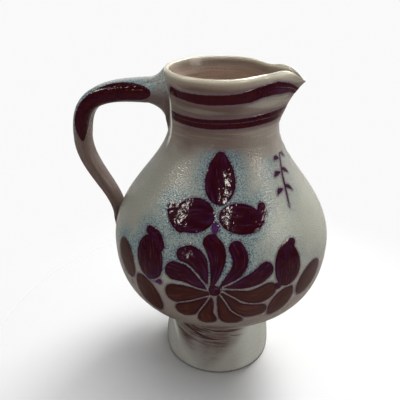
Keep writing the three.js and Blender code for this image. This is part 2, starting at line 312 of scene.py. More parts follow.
# belly flower: (turn in degrees, height, half width) along each mark; the spout is at turn 0
flower = {
    "glossy": {
        "topLeaf": [
            (-83.1, 158.6, 2), (-82.9, 155.3, 4.4), (-82.7, 150.5, 7), (-82.4, 145.6, 8.2),
            (-82.4, 141.8, 6.8), (-82.3, 139, 3.8),
        ],
        "leftLeaf": [
            (-107.2, 127.2, 2.7), (-102.4, 129, 7.7), (-96.8, 130.4, 9.5), (-92.2, 130.5, 7),
            (-89.4, 130.5, 3.8),
        ],
        "leftHook": [
            (-112.8, 132.2, 1.75), (-111.1, 129.6, 2.1), (-107.4, 126.8, 3),
            (-102.8, 124.7, 3.5),
        ],
        "rightLeaf": [
            (-78.4, 131, 2.6), (-74.1, 130.4, 6.9), (-68.8, 129.7, 8.2), (-63.4, 128.9, 6.5),
            (-58.9, 128.6, 3.1),
        ],
        "rightHook": [(-54.9, 133.9, 1.9), (-55.7, 131.4, 2.3), (-58.5, 128.8, 3.2)],
        "heart": [(-82.7, 93.6, 3.43)],
        "petal01": [
            (-85.3, 119.2, 4.3), (-82.9, 115.9, 4.82), (-82, 111.3, 4.28), (-82.6, 106.2, 3.42),
            (-83.8, 100.5, 1.94), (-84.2, 96.3, 0.87),
        ],
        "petal02": [
            (-72.8, 116.7, 3.88), (-71.1, 112.7, 4.12), (-71.4, 108.4, 3.79), (-73.6, 104, 2.92),
            (-76.7, 100, 1.73), (-80, 96.6, 0.72),
        ],
        "petal03": [
            (-58.9, 104.3, 4.31), (-62.7, 101.2, 4.2), (-67.4, 99.1, 3.36), (-72.7, 97.5, 2.06),
            (-78.4, 96, 0.88),
        ],
        "petal10": [(-87, 94.4, 0.85), (-92, 98.5, 2.7), (-97.6, 101.9, 4.7), (-102.4, 102, 5)],
        "petal11": [
            (-85.6, 97.8, 0.85), (-87.9, 104.5, 3.03), (-91.4, 109.9, 4.7), (-95.3, 112.2, 4.76),
            (-98.5, 111.8, 3.81),
        ],
        "budHookLeft": [
            (-121.3, 118.1, 1.7), (-117.8, 117.6, 2), (-114.4, 115.9, 2.4), (-112, 112.5, 2.5),
        ],
        "budLeft": [
            (-119.9, 112.4, 3), (-118.3, 109.1, 7.2), (-116.8, 104.6, 9.2), (-115.6, 99.8, 8),
            (-115, 96.6, 4.4),
        ],
        "budHookRight": [(-41.9, 114.6, 1.7), (-44.3, 114.5, 2), (-46.9, 113.2, 2.4)],
        "budRight": [
            (-46.1, 111.8, 3.5), (-46.4, 108.7, 6.81), (-46.6, 104.3, 8.64), (-46.7, 99.9, 8.13),
            (-46.9, 95.5, 4.35),
        ],
        "dotRight": [(-52.3, 92.9, 1.67), (-54.6, 93.8, 0.54)],
    },
    "violet": {
        "dotTop": [(-83.6, 126.3, 1.67), (-83.9, 123.3, 0.86)],
        "dotLeft": [(-109.8, 92.6, 1.4), (-112.2, 91.6, 0.6), (-114, 91.2, 0.35)],
    },
    "matt": {
        "petal04": [
            (-57.6, 91.3, 5), (-61.6, 89.4, 5.3), (-67.1, 89.3, 3.65), (-72.5, 91.8, 1.92),
            (-78.3, 94.6, 0.84),
        ],
        "petal05": [
            (-60.9, 78, 4.2), (-66.3, 78.4, 4.9), (-71.5, 81.5, 3.5), (-75.4, 86.9, 1.9),
            (-79.2, 91.8, 0.8),
        ],
        "petal06": [
            (-80.7, 89.7, 0.86), (-79.1, 83.7, 2.03), (-77.6, 77.2, 3.5), (-75.3, 73.4, 4.7),
            (-71.9, 71.6, 3.4),
        ],
        "petal07": [(-84.3, 88, 0.85), (-85.3, 82.5, 2.2), (-86.5, 76.6, 3.7), (-86, 72.4, 5)],
        "petal08": [(-86, 88.5, 0.85), (-89.7, 83.9, 2.3), (-94.2, 79, 4.7), (-97.4, 77, 4.8)],
        "petal09": [(-85.6, 91.8, 1), (-90.6, 90.9, 2.9), (-96.7, 89.3, 5), (-101.4, 87.8, 5.9)],
        "outerLeft": [
            (-139.5, 101.2, 3), (-137.2, 99, 6.6), (-134.6, 95.2, 8.8), (-132.4, 91.2, 7.2),
            (-131.2, 88.2, 3.6),
        ],
        "lowerLeft": [
            (-121.9, 87.6, 3.2), (-119.9, 84.6, 6.4), (-117.8, 80, 8.6), (-115.9, 75.2, 7.6),
            (-114.6, 71.2, 3.6),
        ],
        "outerRight": [
            (-25.8, 92.2, 4.2), (-28.4, 90.6, 7.6), (-32, 88.2, 8.6), (-35.2, 85.6, 6.4),
            (-36.8, 83.9, 3.2),
        ],
        "lowerRight": [
            (-46, 86.4, 3.4), (-48, 83.4, 6), (-50.2, 79.6, 6.6), (-52.2, 76, 4.6),
            (-53.4, 73.6, 2.4),
        ],
    },
    "spread": 0.4,  # how far the slip ran past the brush
    # marks on side 1; the others are on side 0
    "secondSide": (
        "petal03", "petal05", "petal07", "petal09", "petal11", "leftLeaf", "leftHook",
        "rightLeaf", "rightHook", "budLeft", "budHookLeft", "lowerRight", "outerRight",
    ),
    # marks that run into their neighbours with no seam
    "joins": ("heart", "leftHook", "rightHook", "budHookLeft", "budHookRight", "dotTop"),
    # thin blue-grey sprigs under the spout
    "sprig": {
        "stem": [
            (-35, 130, 0.4), (-31.5, 137, 0.62), (-26.5, 145, 0.62), (-20, 152, 0.5),
            (-15, 156.5, 0.35),
        ],
        "leaf1": [(-40.5, 137, 0.35), (-37.5, 138.6, 1), (-33.5, 138.8, 0.5)],
        "leaf2": [(-24, 136.2, 0.35), (-26.5, 138.4, 1), (-30, 139.8, 0.5)],
        "leaf3": [(-36.5, 145.2, 0.35), (-33, 146.4, 1), (-28, 146.2, 0.5)],
        "leaf4": [(-17.5, 144, 0.35), (-20.5, 146, 1), (-24.5, 147.4, 0.5)],
        "leaf5": [(-30, 152.8, 0.35), (-26.5, 153.6, 0.95), (-21.5, 152.6, 0.45)],
        "leaf6": [(-9.5, 151.4, 0.35), (-12.5, 153.4, 0.95), (-17, 154.4, 0.45)],
    },
    "mattness": {"glossy": 0.0, "violet": 0.1, "matt": 1.0, "sprig": 0.2},
    "violetness": {"glossy": 0.31, "violet": 1.0, "matt": 0.1, "sprig": 0.6},
}


def onBody(turn, height):
    radius = radiusAt(outsideLine, height)
    a = np.radians(turn)
    return np.stack([radius * np.cos(a), radius * np.sin(a), height], -1)


def flowerMarks():
    marks = []
    for kind, matt in flower["mattness"].items():
        violet = flower["violetness"][kind]
        for name, points in flower[kind].items():
            path = brushPath(points, flower["spread"])
            place = onBody(path[:, 0], path[:, 1])
            outwards = place * (1, 1, 0)
            facing = outwards / np.linalg.norm(outwards, axis=1)[:, None]
            side = 1 if name in flower["secondSide"] else 0
            joins = name in flower["joins"]
            marks.append(brushMark(place, path[:, 2], facing, matt, violet, side, joins))
    return marks


# shading: shader sums written as plain expressions
class Signal:
    # one output of a node; numbers and other signals join it through Math nodes
    def __init__(self, tree, socket):
        self.tree = tree
        self.socket = socket

    def node(self, kind, settings=None, sockets=None):
        made = self.tree.nodes.new(kind)
        for key, value in (settings or {}).items():
            if key == "stops":
                ramp = made.color_ramp.elements
                ramp[0].position, ramp[1].position = value[0][0], value[-1][0]
                for position, _ in value[1:-1]:
                    ramp.new(position)
                for element, (_, colour) in zip(ramp, value):
                    element.color = colour
            else:
                setattr(made, key, value)
        for key, value in (sockets or {}).items():
            if isinstance(value, Signal):
                self.tree.links.new(value.socket, made.inputs[key])
            else:
                made.inputs[key].default_value = value
        return made

    def take(self, made, output=0):
        return Signal(self.tree, made.outputs[output])

    # a new node's output
    def build(self, kind, settings=None, sockets=None, output=0):
        return self.take(self.node(kind, settings, sockets), output)

    def math(self, operation, first, second=None):
        sockets = {0: first} if second is None else {0: first, 1: second}
        return self.build("ShaderNodeMath", {"operation": operation}, sockets)

    def __add__(self, other):
        return self.math("ADD", self, other)

    __radd__ = __add__

    def __mul__(self, other):
        return self.math("MULTIPLY", self, other)

    __rmul__ = __mul__

    def __sub__(self, other):
        return self.math("SUBTRACT", self, other)

    def __rsub__(self, other):
        return self.math("SUBTRACT", other, self)

    def __truediv__(self, other):
        return self.math("DIVIDE", self, other)

    def __rtruediv__(self, other):
        return self.math("DIVIDE", other, self)

    def __abs__(self):
        return self.math("ABSOLUTE", self)

    # first up to low, last from high on, and a smooth change between
    def ease(self, low, high, first=0.0, last=1.0):
        sockets = {0: self, 1: low, 2: high, 3: first, 4: last}
        return self.build("ShaderNodeMapRange", {"interpolation_type": "SMOOTHSTEP"}, sockets)

    # this signal chooses between two colours
    def blend(self, first, second):
        settings = {"data_type": "RGBA", "clamp_factor": True}
        return self.build("ShaderNodeMix", settings, {0: self, 6: first, 7: second}, 2)

    def stretch(self, scale):
        settings = {"vector_type": "POINT"}
        return self.build("ShaderNodeMapping", settings, {"Vector": self, "Scale": scale})

    def noise(self, scale, detail=2.0, roughness=0.5, distortion=0.0):
        sockets = {"Vector": self, "Scale": scale, "Detail": detail}
        sockets.update({"Roughness": roughness, "Distortion": distortion})
        return self.build("ShaderNodeTexNoise", {}, sockets)

    def cells(self, scale):
        sockets = {"Vector": self, "Scale": scale, "Smoothness": 0.6}
        return self.build("ShaderNodeTexVoronoi", {"feature": "SMOOTH_F1"}, sockets)

    def ramp(self, stops):
        return self.build("ShaderNodeValToRGB", {"stops": stops}, {0: self})

    def parts(self):
        made = self.node("ShaderNodeSeparateXYZ", {}, {0: self})
        return [self.take(made, i) for i in range(3)]

    def join(self, x, y, z):
        return self.build("ShaderNodeCombineXYZ", {}, {0: x, 1: y, 2: z})


# an empty node tree, and where each of its points lies on the object
def startTree(owner, place="Object"):
    owner.use_nodes = True
    owner.node_tree.nodes.clear()
    start = Signal(owner.node_tree, None)
    return start, start.build("ShaderNodeTexCoord", output=place)


def startMaterial(name):
    material = bpy.data.materials.new(name)
    start, place = startTree(material)
    return material, start, place.stretch((1 / mm, 1 / mm, 1 / mm))


def field(start, name, output="Fac"):
    settings = {"attribute_type": "GEOMETRY", "attribute_name": name}
    return start.build("ShaderNodeAttribute", settings, output=output)


def closeMaterial(start, colour, roughness, height, specular):
    bump = {"Strength": 1.0, "Distance": mm, "Height": height}
    normal = start.build("ShaderNodeBump", {}, bump)
    sockets = {"Base Color": colour, "Roughness": roughness, "Normal": normal}
    sockets["Specular IOR Level"] = specular
    shader = start.build("ShaderNodeBsdfPrincipled", {}, sockets)
    start.node("ShaderNodeOutputMaterial", {}, {"Surface": shader})


# display values 0 to 255 as the shader's linear, opaque colour
def tone(red, green, blue):
    values = [v / 255 for v in (red, green, blue)]
    linear = [v / 12.92 if v <= 0.04045 else ((v + 0.055) / 1.055) ** 2.4 for v in values]
    return (*linear, 1)


# the fine pits that salt leaves in a glaze
def orangePeel(place):
    return place.cells(1.1) * 0.75 + place.noise(1.0, 1.0) * 0.25


slipLook = {
    "deep": tone(40, 3, 18),
    "redBrown": tone(46, 6, 5),
    "violet": tone(74, 38, 86),
    "mattBrown": tone(54, 21, 16),
    "mattPale": tone(82, 44, 36),
    "glossyRoughness": 0.1,
    "mattRoughness": 0.34,
    "wrinkle": 0.085,  # height of the gathered glaze on the slip, mm
    "seam": 0.9,  # bare line left between two marks that meet, mm
}


# colour, roughness, cover and height of the brushed slip, wherever a piece carries its fields
def slipLayers(start, place, grain):
    first, second, seam = field(start, "slipNear", "Vector").parts()
    across, run, number = field(start, "slipPath", "Vector").parts()
    matt, violet, _ = field(start, "slipTone", "Vector").parts()
    edge = (0.5 - start.math("MAXIMUM", first, second)) * (2 * slipReach)
    gap = (seam * slipLook["seam"] - abs(first - second) * (2 * slipReach)) * 0.5
    edge = start.math("MAXIMUM", edge, gap)  # mm outside the mark, below zero inside it
    ragged = edge + (grain - 0.5) * 0.5
    cover = ragged.ease(0.3, -0.3)
    brushed = start.join(across * 2.6, run * 1.1, number * 7.3)
    streak = brushed.noise(1.6, 3.0, 0.6)
    middle = abs(across).ease(0.75, 0.15)
    pool = place.noise(0.35, 2.0)
    within = edge * -1
    outline = within.ease(0.5, 1.3) * within.ease(3.6, 1.6)  # a violet line inside the edge
    toViolet = (middle * 0.3 + outline) * streak.ease(0.44, 0.66) * 1.1
    toViolet = violet * (toViolet + violet * violet * 0.5)
    glossy = pool.ease(0.4, 0.62).blend(slipLook["deep"], slipLook["redBrown"])
    thin = brushed.noise(3.2, 2.0).ease(0.56, 0.74) * within.ease(0.4, 1.4) * violet
    glossy = (thin * 1.8).blend(glossy, slipLook["mattPale"])
    glossy = toViolet.blend(glossy, slipLook["violet"])
    dry = streak.ease(0.45, 0.75).blend(slipLook["mattBrown"], slipLook["mattPale"])
    rimmed = within.ease(0.2, 2.2)  # even a matt mark keeps a glossy rim
    dry = (rimmed * matt).blend(glossy, dry)
    colour = matt.blend(glossy, dry)
    roughness = matt * (slipLook["mattRoughness"] - slipLook["glossyRoughness"])
    roughness = roughness + slipLook["glossyRoughness"]
    wrinkle = place.noise(0.3, 1.5, 0.45, 0.6)
    height = wrinkle * (1.15 - matt) * slipLook["wrinkle"] * 3
    return cover, edge, colour, roughness, height


bodyLook = {
    # ground colour by height in mm; darker and browner on the belly's underside and on the neck,
    # partly the glaze's own tone and partly painted shade
    "ground": (
        (0, tone(176, 173, 162)),
        (36, tone(176, 173, 162)),
        (50, tone(128, 112, 101)),
        (84, tone(132, 120, 112)),
        (100, tone(149, 148, 136)),
        (130, tone(156, 156, 142)),
        (150, tone(145, 142, 130)),
        (163, tone(98, 83, 74)),
        (187, tone(74, 58, 50)),
        (194.4, tone(84, 68, 58)),
        (197.8, tone(132, 119, 102)),
        (199.8, tone(218, 210, 184)),
    ),
    "shade": tone(102, 92, 85),
    # paler glaze for broad patches, also used as the painted light on the neck's sides
    "light": tone(176, 172, 158),
    "stain": tone(96, 76, 80),  # round the marks, where the slip bled
    "teal": tone(117, 141, 139),
    "speck": tone(50, 60, 84),
    "flowerReflection": tone(76, 48, 41),  # painted reflection of the flower in the foot's glaze, darkest up under the belly
    "slantStreak": tone(54, 30, 27),  # dark slanted streaks across the painted reflection on the foot
    "wash": tone(84, 64, 56),  # thin slip dragged past the bands
    "inside": tone(216, 192, 174),
    "insideDark": tone(188, 162, 146),
    "bareEdgeAndShadow": tone(62, 54, 48),  # darker bottom edge of the foot: the bare edge, and a painted contact shadow
    "pale": tone(204, 204, 192),  # painted sheen on the sides of the foot, and the painted highlight down the neck
    "roughness": 0.07,
    "specular": 0.28,
    "peel": 0.24,  # height of the orange peel, mm
    "neck": (150.0, 166.0),  # heights between which the brown of the neck begins
    "foot": (58.0, 44.0),  # and, downwards, the grey of the foot
    "halo": (92.0, 106.0),  # and the teal halo round the flower's marks
    "highlightSide": -0.86,  # painted highlight streak down the left of the neck, as x over radius
    "highlightFoot": (154.0, 160.0),
    "highlightTop": (187.0, 181.0),
}


def bodyGlaze():
    material, start, place = startMaterial("salt glaze")
    x, y, height = place.parts()
    inner = field(start, "inner")
    grain = place.noise(1.25, 2.0, 0.6)
    patches = place.noise(0.05, 3.0, 0.55)
    clouds = place.noise(0.016, 2.0)
    shifted = height + (patches - 0.5) * 14 * height.ease(199.0, 188.0)
    top = bodyLook["ground"][-1][0]
    stops = [(h / top, colour) for h, colour in bodyLook["ground"]]
    ground = (shifted / top).ramp(stops)
    cover, edge, slipColour, slipRoughness, slipHeight = slipLayers(start, place, grain)
    brushLines = place.stretch((0.05, 0.05, 1.1)).noise(1.0, 3.0, 0.6)
    ground = (clouds.ease(0.4, 0.75) * 0.3).blend(ground, bodyLook["shade"])
    # neck: fine and broad lines, painted light on its left and right sides, and slip washed past
    # the bands
    neck = height.ease(*bodyLook["neck"])
    broad = place.stretch((0.03, 0.03, 0.3)).noise(1.0, 2.0, 0.5)
    ground = (neck * brushLines.ease(0.5, 0.75) * 0.4).blend(ground, bodyLook["shade"])
    ground = (neck * broad.ease(0.5, 0.3) * 0.14).blend(ground, bodyLook["light"])
    # painted light: the neck is paler towards its left and right sides
    sides = x.ease(5.0, 32.0) * 0.3 + x.ease(-14.0, -34.0) * 0.22
    ground = (neck * sides).blend(ground, bodyLook["light"])
    washed = neck * edge.ease(5.5, 0.3) * height.ease(196.5, 193.0) * broad.ease(0.25, 0.6)
    ground = (washed * 0.8).blend(ground, bodyLook["wash"])
    # painted highlight: a pale streak down the left of the neck
    beside = x / start.math("SQRT", x * x + y * y) + (patches - 0.5) * 0.03
    neckHighlight = abs(beside - bodyLook["highlightSide"]).ease(0.034, 0.01)
    neckHighlight = neckHighlight * height.ease(*bodyLook["highlightFoot"]) * height.ease(*bodyLook["highlightTop"])
    # foot: a painted reflection of the flower as a dark wedge, with dark slanted streaks across it,
    # and painted sheen on its sides
    foot = height.ease(*bodyLook["foot"])
    reflectionWedge = (abs(x + 3) - height * 0.7).ease(9, -4) * height.ease(66.0, 54.0)
    under = height.ease(-10.0, 27.0) * reflectionWedge
    under = under * (brushLines.ease(0.25, 0.6) * patches.ease(0.35, 0.6) * 0.4 + 0.6)
    # painted reflection of the flower on the foot, darker upwards
    ground = (under * 0.9).blend(ground, bodyLook["flowerReflection"])
    slanted = start.join(x * 0.045, 0.0, (height + x * 0.13) * 0.48).noise(1.0, 2.0, 0.5)
    # dark slanted streaks within the painted reflection on the foot
    slantStreaks = height.ease(19.0, 28.0) * reflectionWedge * slanted.ease(0.5, 0.58)
    ground = (slantStreaks * 0.8).blend(ground, bodyLook["slantStreak"])
    # painted sheen: paler glaze on the foot's right side and in a slanted streak on its left
    footSheen = x.ease(16.0, 28.0) * 0.6 + abs(height + x * 1.5 + 13.5).ease(5, 0) * x.ease(-20, -26)
    ground = (foot * footSheen).blend(ground, bodyLook["pale"])
    # darker bottom edge: bare edge and painted contact shadow
    ground = (height.ease(2.4, 0.6) * 0.8).blend(ground, bodyLook["bareEdgeAndShadow"])
    # a halo, a stain and dark specks where the slip bled
    halo = edge.ease(13, 0.0) * height.ease(*bodyLook["halo"])
    halo = halo * height.ease(164, 158) * (1 - x.ease(24, 40) * 0.7)
    halo = halo * (patches.ease(0.25, 0.6) * 0.5 + 0.5)
    ground = (halo * 0.75).blend(ground, bodyLook["teal"])
    ground = (edge.ease(1.8, 0.2) * 0.55).blend(ground, bodyLook["stain"])
    specks = grain.ease(0.54, 0.4) * (halo * 0.75 + edge.ease(1.4, 0.0) * 0.5 + 0.1)
    ground = specks.blend(ground, bodyLook["speck"])
    insideColour = brushLines.ease(0.3, 0.7).blend(bodyLook["inside"], bodyLook["insideDark"])
    deep = inner.ease(0.5, 0.95) * height.ease(199.5, 190.0)
    ground = deep.blend(ground, insideColour)
    lip = height.ease(192.0, 197.0)
    colour = cover.blend(ground, slipColour)
    # painted highlight on the near side of the neck only
    colour = (neckHighlight * y.ease(0.0, -4.0)).blend(colour, bodyLook["pale"])
    # the peel is calm on the foot and the lip and lies under the slip
    peel = orangePeel(place)
    calm = 1 - (foot * 0.85 + lip * 0.45)
    roughness = bodyLook["roughness"] + (patches - 0.5) * 0.1 + foot * 0.03
    roughness = roughness + deep * 0.45 - lip * 0.03
    roughness = roughness + (slipRoughness - roughness) * cover
    relief = peel * bodyLook["peel"] * calm * (1 - cover)
    relief = relief + slipHeight * cover + brushLines * 0.12 * (deep + lip * 0.5)
    closeMaterial(start, colour, roughness, relief, bodyLook["specular"])
    return material


handleLook = {
    "top": tone(140, 143, 134),
    "topTeal": tone(104, 132, 136),
    "side": tone(84, 69, 62),
    "low": tone(98, 80, 71),
    "shade": tone(86, 70, 63),
    "roughness": 0.09,
    "specular": 0.28,
    "peel": 0.34,  # height of the orange peel, mm
}


def handleGlaze():
    material, start, place = startMaterial("handle glaze")
    length, facing, _ = field(start, "grip", "Vector").parts()  # facing is 1 outwards
    grain = place.noise(0.95, 2.0, 0.55)
    patches = place.noise(0.06, 3.0)
    lines = start.join(length * 14, facing * 3, 0.0).noise(1.0, 3.0, 0.6)
    cover, edge, slipColour, slipRoughness, slipHeight = slipLayers(start, place, grain)
    low = (length + (patches - 0.5) * 0.1).ease(0.3, 0.62)
    ground = low.blend(handleLook["side"], handleLook["low"])
    # the outward face of the upper strap is paler, partly the glaze's own tone and partly a painted
    # reflection of the sky
    upper = facing.ease(-0.15, 0.55) * (1 - low)
    ground = upper.blend(ground, handleLook["top"])
    teal = upper * edge.ease(7, 0.5) * grain.ease(0.65, 0.4)
    ground = teal.blend(ground, handleLook["topTeal"])
    ground = (lines.ease(0.45, 0.7) * 0.3).blend(ground, handleLook["shade"])
    specks = grain.ease(0.5, 0.36) * (upper * 0.25 + 0.3)
    ground = specks.blend(ground, bodyLook["speck"])
    colour = cover.blend(ground, slipColour)
    peel = orangePeel(place)
    roughness = handleLook["roughness"] + (patches - 0.5) * 0.12
    roughness = roughness + (slipRoughness - roughness) * cover
    relief = peel * handleLook["peel"] * (upper * 0.75 + 0.25) * (1 - cover)
    relief = relief + slipHeight * cover + lines * 0.06
    closeMaterial(start, colour, roughness, relief, handleLook["specular"])
    return material


clayLook = {
    "pale": tone(150, 142, 130),
    "toasted": tone(134, 112, 92),
    "grit": tone(82, 74, 68),
    "roughness": 0.82,
    "specular": 0.3,
}


def bareClay():
    material, start, place = startMaterial("bare clay")
    grain = place.noise(1.6, 3.0, 0.6)
    patches = place.noise(0.07, 3.0)
    wire = place.stretch((0.9, 0.12, 1)).noise(1.0, 2.0)  # lines left by the cutting wire
    colour = patches.ease(0.35, 0.65).blend(clayLook["pale"], clayLook["toasted"])
    colour = (grain.ease(0.42, 0.3) * 0.7).blend(colour, clayLook["grit"])
    roughness = clayLook["roughness"] + (grain - 0.5) * 0.2
    closeMaterial(start, colour, roughness, grain * 0.12 + wire * 0.2, clayLook["specular"])
    return material


glaze = bodyGlaze()
strapGlaze = handleGlaze()
clay = bareClay()
print("materials made")


# the hands' unevenness, the same for every section so that their edges meet
def handWobble(turn, height):
    slow = 0.5 + 0.5 * np.sin(2 * turn + 0.6 + 0.02 * height)
    rings = np.sin(1.05 * height + 0.5 * turn) + 0.6 * np.sin(0.47 * height - turn + 2.1)
    return form["wobble"] * slow + form["ringHeight"] * (0.5 + 0.31 * rings)


# marks left by a finger or a tool: (height, half width, depth) all the way round
toolLines = (
    (196.4, 0.35, 0.2),
    (194.2, 0.45, 0.12),
    (161.9, 0.8, 0.22),
    (9.5, 0.7, 0.16),
    (13.0, 0.9, 0.12),
)


# how far the outside stands back from its line, where edge is the distance to the slip
def outerInset(turn, height, edge):
    bare = 1 - smooth(0.45, -0.45, edge)
    inset = form["relief"] * bare + handWobble(turn, height)
    for level, spread, depth in toolLines:
        inset = inset + depth * np.exp(-(((height - level) / spread) ** 2))
    return inset


def innerInset(turn, height):
    rings = np.sin(0.92 * height + 0.8 * turn) + 0.5 * np.sin(0.53 * height - turn)
    fade = smooth(199, 192, height)
    return form["innerRings"] * (0.5 + 0.33 * rings) * fade


# share of inner wall at a point: 0 outside, 1 inside
def innerShare(radius, height):
    level = np.minimum(height, form["lipLevel"])
    outer = radiusAt(outsideLine, level)
    inner = radiusAt(insideLine, level)
    return np.clip((outer - radius) / (outer - inner), 0, 1)


# sections meet in stepped laps: a tongue below each one sits in the rebate of the next
def lapRadius(height):
    return (radiusAt(outsideLine, height) + radiusAt(insideLine, height)) / 2


def rebateTop(height):
    step = lapRadius(height)
    return [(step, height), (step, height - form["lapDepth"])]


def tongueBottom(height):
    step = lapRadius(height) - form["lapClearance"]
    return [(step, height - form["lapDepth"] + form["lapClearance"]), (step, height)]


# a ring of wall between two joints
def wallProfile(low, high, bottom, insideLow, spacing, insideSpacing):
    outside = along(outsideLine, low, high, spacing)
    inside = along(insideLine, insideLow, high - form["lapDepth"], insideSpacing)[::-1]
    return np.vstack([outside, rebateTop(high), inside, *([bottom] if bottom else [])])


# a thrown section, with brushed marks or with the bands and spout of the rim
def bodyPiece(name, node, profile, columns, marks=(), banded=False):
    mesh = meshFrom(turnProfile(profile, columns), name)
    points = readPoints(mesh)
    radius, turn, height = polar(points)
    inner = innerShare(radius, height)
    outer = np.where(inner < 0.5)[0]
    if banded:
        painted = bandPaint(turn[outer], height[outer])
    else:
        painted = paint(nearSide(points[outer]), marks)
    edge = np.full(len(points), slipReach)
    edge[outer] = painted[0].min(0)
    outerPart = smooth(0.6, 0.3, inner)
    innerPart = smooth(0.6, 0.9, inner)
    radius = radius - outerPart * outerInset(turn, height, edge)
    radius = radius - innerPart * innerInset(turn, height)
    if banded:
        radius, height = shapeSpout(radius, turn, height)
    points = np.stack([radius * np.cos(turn), radius * np.sin(turn), height], 1)
    writePoints(mesh, points)
    writeSlip(mesh, painted, outer, len(points))
    writeField(mesh, "inner", inner)
    finishPiece(mesh, name, node, [glaze])


floorPart = {
    "thickness": 7.0,
    "seat": 4.0,  # height at which it meets the foot
    "edgeRound": 0.8,
    "columns": 300,
    "bevelSteps": 5,
    "spacing": 0.8,
    "underRings": (0, 6, 12, 18, 24, 29, 33, 35),
    "topRings": (24, 16, 8, 0),
    "hollow": 0.5,  # how far the underside is hollowed out
    "swirl": 0.15,  # the thrower's spiral on the floor inside
    "bareBelow": 0.7,  # the clay is bare up to this height
}
footPart = {"columns": 300, "spacing": 1.0, "insideSpacing": 3.0, "span": (4.0, 43.5)}
bellyPart = {"columns": 436, "spacing": 1.02, "insideSpacing": 4.0, "span": (43.5, 155.0)}
neckPart = {"columns": 300, "spacing": 0.8, "insideSpacing": 1.6, "span": (155.0, 169.0)}


# the floor disc: glazed edge outside, bare clay on the standing face
def makeFloor(s):
    spigot = radiusAt(insideLine, s["seat"]) - form["lapClearance"]
    r = s["edgeRound"]
    outerRadius = radiusAt(outsideLine, r)
    turns = np.linspace(-math.pi / 2, 0, s["bevelSteps"])
    corner = [(outerRadius - r + r * math.cos(a), r + r * math.sin(a)) for a in turns]
    side = along(outsideLine, r + 0.3, s["seat"], s["spacing"])
    under = [(ring, 0.0) for ring in s["underRings"]]
    top = [(ring, s["thickness"]) for ring in (spigot, *s["topRings"])]
    profile = np.vstack([under, corner, side, [(spigot, s["seat"])], top])
    mesh = meshFrom(turnProfile(profile, s["columns"], closed=False), "baseFloor")
    points = readPoints(mesh)
    radius, turn, height = polar(points)
    rim = smooth(30.0, 34.0, radius) * smooth(0.0, 0.5, height)
    inset = outerInset(turn, height, np.full(len(points), slipReach))
    shrunk = np.where(radius > 1, (radius - rim * inset) / np.maximum(radius, 1), 1)
    hollow = s["hollow"] * smooth(33.0, 26.0, radius) * (height < 0.01)
    swirl = s["swirl"] * np.sin(0.9 * radius + turn) * smooth(spigot, 25, radius)
    swirl = swirl * (height > s["thickness"] - 0.1)
    points = points * np.stack([shrunk, shrunk, 1 + 0 * shrunk], 1)
    points[:, 2] += hollow + np.minimum(swirl, 0)
    writePoints(mesh, points)
    writeSlip(mesh, paint(points, ()), np.arange(len(points)), len(points))
    writeField(mesh, "inner", np.where(height > 5, 1.0, 0.0))
    finishPiece(mesh, "baseFloor", "base_floor", [glaze, clay])
    for face in mesh.polygons:
        if face.center.z < s["bareBelow"] * mm and face.normal.z < -0.7:
            face.material_index = 1


makeFloor(floorPart)


def makeSection(s, name, node, tongue, marks=()):
    low, high = s["span"]
    bottom = tongueBottom(low) if tongue else []
    insideLow = low - form["lapDepth"] + form["lapClearance"] if tongue else low
    profile = wallProfile(low, high, bottom, insideLow, s["spacing"], s["insideSpacing"])
    bodyPiece(name, node, profile, s["columns"], marks)


makeSection(footPart, "footWall", "foot_wall", False)
makeSection(bellyPart, "bellyWall", "belly_wall", True, flowerMarks())
makeSection(neckPart, "neckCollar", "neck_collar", True, flowerMarks()[:1])

# rim with its pinched spout and two brushed bands
rimPart = {
    "columns": 480,
    "spacing": 0.7,
    "insideSpacing": 1.0,
    "lipSteps": 12,
    "spoutReach": 10.8,
    "spoutFall": 5.2,
    "spoutHalfAngle": 0.16,
    "spoutTipRound": 0.026,
    "spoutFallAngle": 0.096,
    "throatWidening": 1.6,
    "throatPower": 1.15,
    "risePower": 3,
    "pinchDepth": 6.6,
    "pinchAngle": 0.663,
    "pinchSpread": (0.419, 0.559),
    "shoulderRise": 1.14,
    "shoulderRiseAngle": 0.279,
    "shoulderRiseSpread": 0.157,
    "height": 31.0,  # from the neck to the top of the lip
    "bandsPart": 184.0,  # height between the two bands
    "mattness": 0.05,
    "lowerSeam": -0.3,
    "strokeDegrees": 25,  # the brush's streaks change this fast
    "mmPerDegree": 0.6,
    "endStep": 3,  # how much sooner the upper turn of the brush ends, in degrees
    "numbers": 40,  # the bands' marks are numbered from here
    # values by turn, in degrees from the spout
    "lap": ((0, 0.0), (22, 0.2), (40, 0.7)),  # how far the upper band's two turns overlap
    "seam": ((0, 0.3), (22, 0.1), (40, -1.0)),
    "violet": ((8, 0.45), (26, 0.3), (34, 0.0)),
    "bands": (
        {
            "end": 146.0,
            "split": ((0, 0.5), (30, 0.62), (60, 0.7), (100, 0.66), (140, 0.6)),
            "top": (
                (0, 192.6), (8, 193.6), (17, 194.8), (22, 195.7), (29, 195.4), (40, 194.65),
                (54, 193.8), (66, 192.6), (81, 192.1), (94, 191.8), (107, 191.5), (125, 191.3),
                (137, 192.2),
            ),
            "bottom": (
                (0, 188.6), (8, 188.9), (15, 188.6), (27, 188.8), (40, 188.3), (53, 187.1),
                (65, 186.9), (81, 186.6), (94, 186.2), (107, 186.2), (126, 187.0), (140, 187.3),
            ),
        },
        {
            "end": 151.0,
            "split": ((0, 0.45), (40, 0.55), (90, 0.6), (147, 0.5)),
            "top": (
                (0, 180.2), (10, 180.1), (27, 179.65), (43, 179.5), (62, 179.0), (77, 178.7),
                (92, 178.35), (108, 178.0), (128, 177.8), (144, 177.7),
            ),
            "bottom": (
                (0, 174.6), (27, 174.2), (44, 174.0), (62, 173.6), (77, 173.4), (92, 172.8),
                (108, 172.7), (129, 172.9), (145, 173.2),
            ),
        },
    ),
}


def byTurn(degrees, line):
    return np.interp(degrees, *zip(*line))


